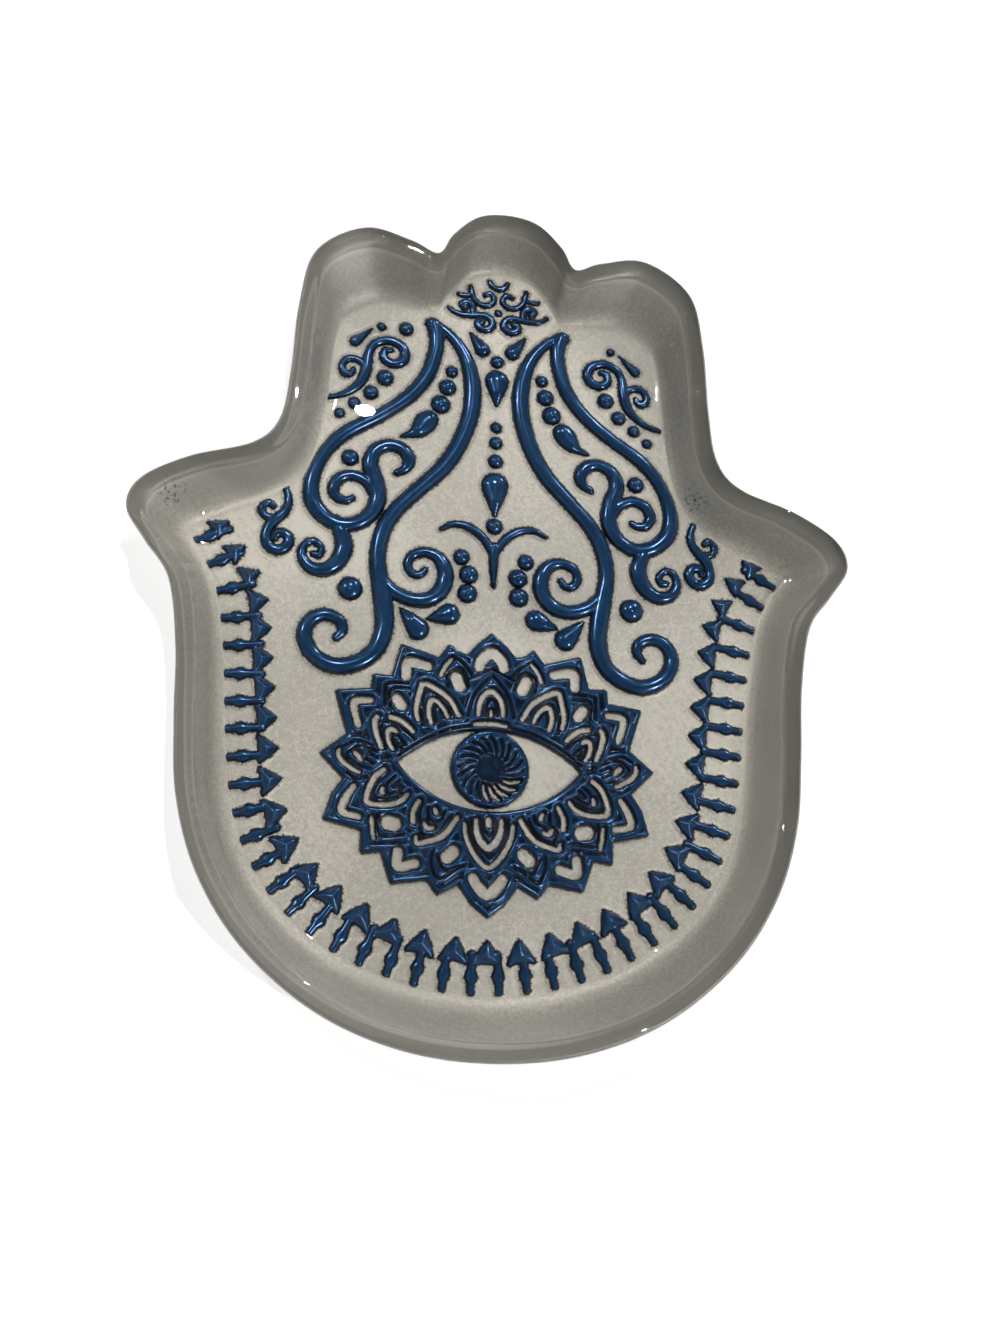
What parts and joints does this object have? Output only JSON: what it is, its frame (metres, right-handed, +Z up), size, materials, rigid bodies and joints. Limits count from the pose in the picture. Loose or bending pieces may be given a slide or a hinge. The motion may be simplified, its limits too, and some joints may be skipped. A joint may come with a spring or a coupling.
{
  "type": "hamsa trinket dish",
  "caption": "Shallow clear-glass trinket dish shaped as an open hamsa hand, its eye, paisley and spear-border ornament inlaid in blue from below over a pearl coat; holds rings and small things.",
  "frame": {"origin": "on the table, under the middle of the dish's length and width", "axes": "+Y from the heel of the hand to the middle finger, +X to the right thumb as seen from above, +Z up"},
  "size_m": [0.1404, 0.1676, 0.012],
  "materials": {
    "clear_glass": "clear, polished",
    "pearl_coat": "satin silver-beige pearl lacquer",
    "blue_enamel": "metallic royal-blue enamel"
  },
  "bodies": {
    "root": {"glass_dish": "clear_glass", "pearl_floor_coat": "pearl_coat", "pearl_wall_coat": "pearl_coat", "eye_medallion": "blue_enamel", "spear_border": "blue_enamel", "anchor": "blue_enamel", "centre_drop_upper": "blue_enamel", "centre_drop_lower": "blue_enamel", "centre_dot_1": "blue_enamel", "centre_dot_2": "blue_enamel", "centre_dot_3": "blue_enamel", "centre_dot_4": "blue_enamel", "centre_dot_5": "blue_enamel", "finger_dot_extra": "blue_enamel", "vine_left": "blue_enamel", "finger_scroll_left": "blue_enamel", "thumb_scroll_left": "blue_enamel", "paisley_comma_left": "blue_enamel", "leaf_drop_left": "blue_enamel", "twin_drops_left": "blue_enamel", "finger_drop_left": "blue_enamel", "paisley_bead_1_left": "blue_enamel", "paisley_bead_2_left": "blue_enamel", "paisley_bead_3_left": "blue_enamel", "scroll_dot_left": "blue_enamel", "mid_bead_1_left": "blue_enamel", "mid_bead_2_left": "blue_enamel", "mid_bead_3_left": "blue_enamel", "base_dot_left": "blue_enamel", "finger_dot_left": "blue_enamel", "finger_bead_1_left": "blue_enamel", "finger_bead_2_left": "blue_enamel", "finger_bead_3_left": "blue_enamel", "finger_bead_4_left": "blue_enamel", "crown_scroll_left": "blue_enamel", "crown_swirl_left": "blue_enamel", "vine_right": "blue_enamel", "finger_scroll_right": "blue_enamel", "thumb_scroll_right": "blue_enamel", "paisley_comma_right": "blue_enamel", "leaf_drop_right": "blue_enamel", "twin_drops_right": "blue_enamel", "finger_drop_right": "blue_enamel", "paisley_bead_1_right": "blue_enamel", "paisley_bead_2_right": "blue_enamel", "paisley_bead_3_right": "blue_enamel", "scroll_dot_right": "blue_enamel", "mid_bead_1_right": "blue_enamel", "mid_bead_2_right": "blue_enamel", "mid_bead_3_right": "blue_enamel", "base_dot_right": "blue_enamel", "finger_dot_right": "blue_enamel", "finger_bead_1_right": "blue_enamel", "finger_bead_2_right": "blue_enamel", "finger_bead_3_right": "blue_enamel", "finger_bead_4_right": "blue_enamel", "crown_scroll_right": "blue_enamel", "crown_swirl_right": "blue_enamel", "crown_arc": "blue_enamel", "crown_dot": "blue_enamel"}
  },
  "joints": []
}
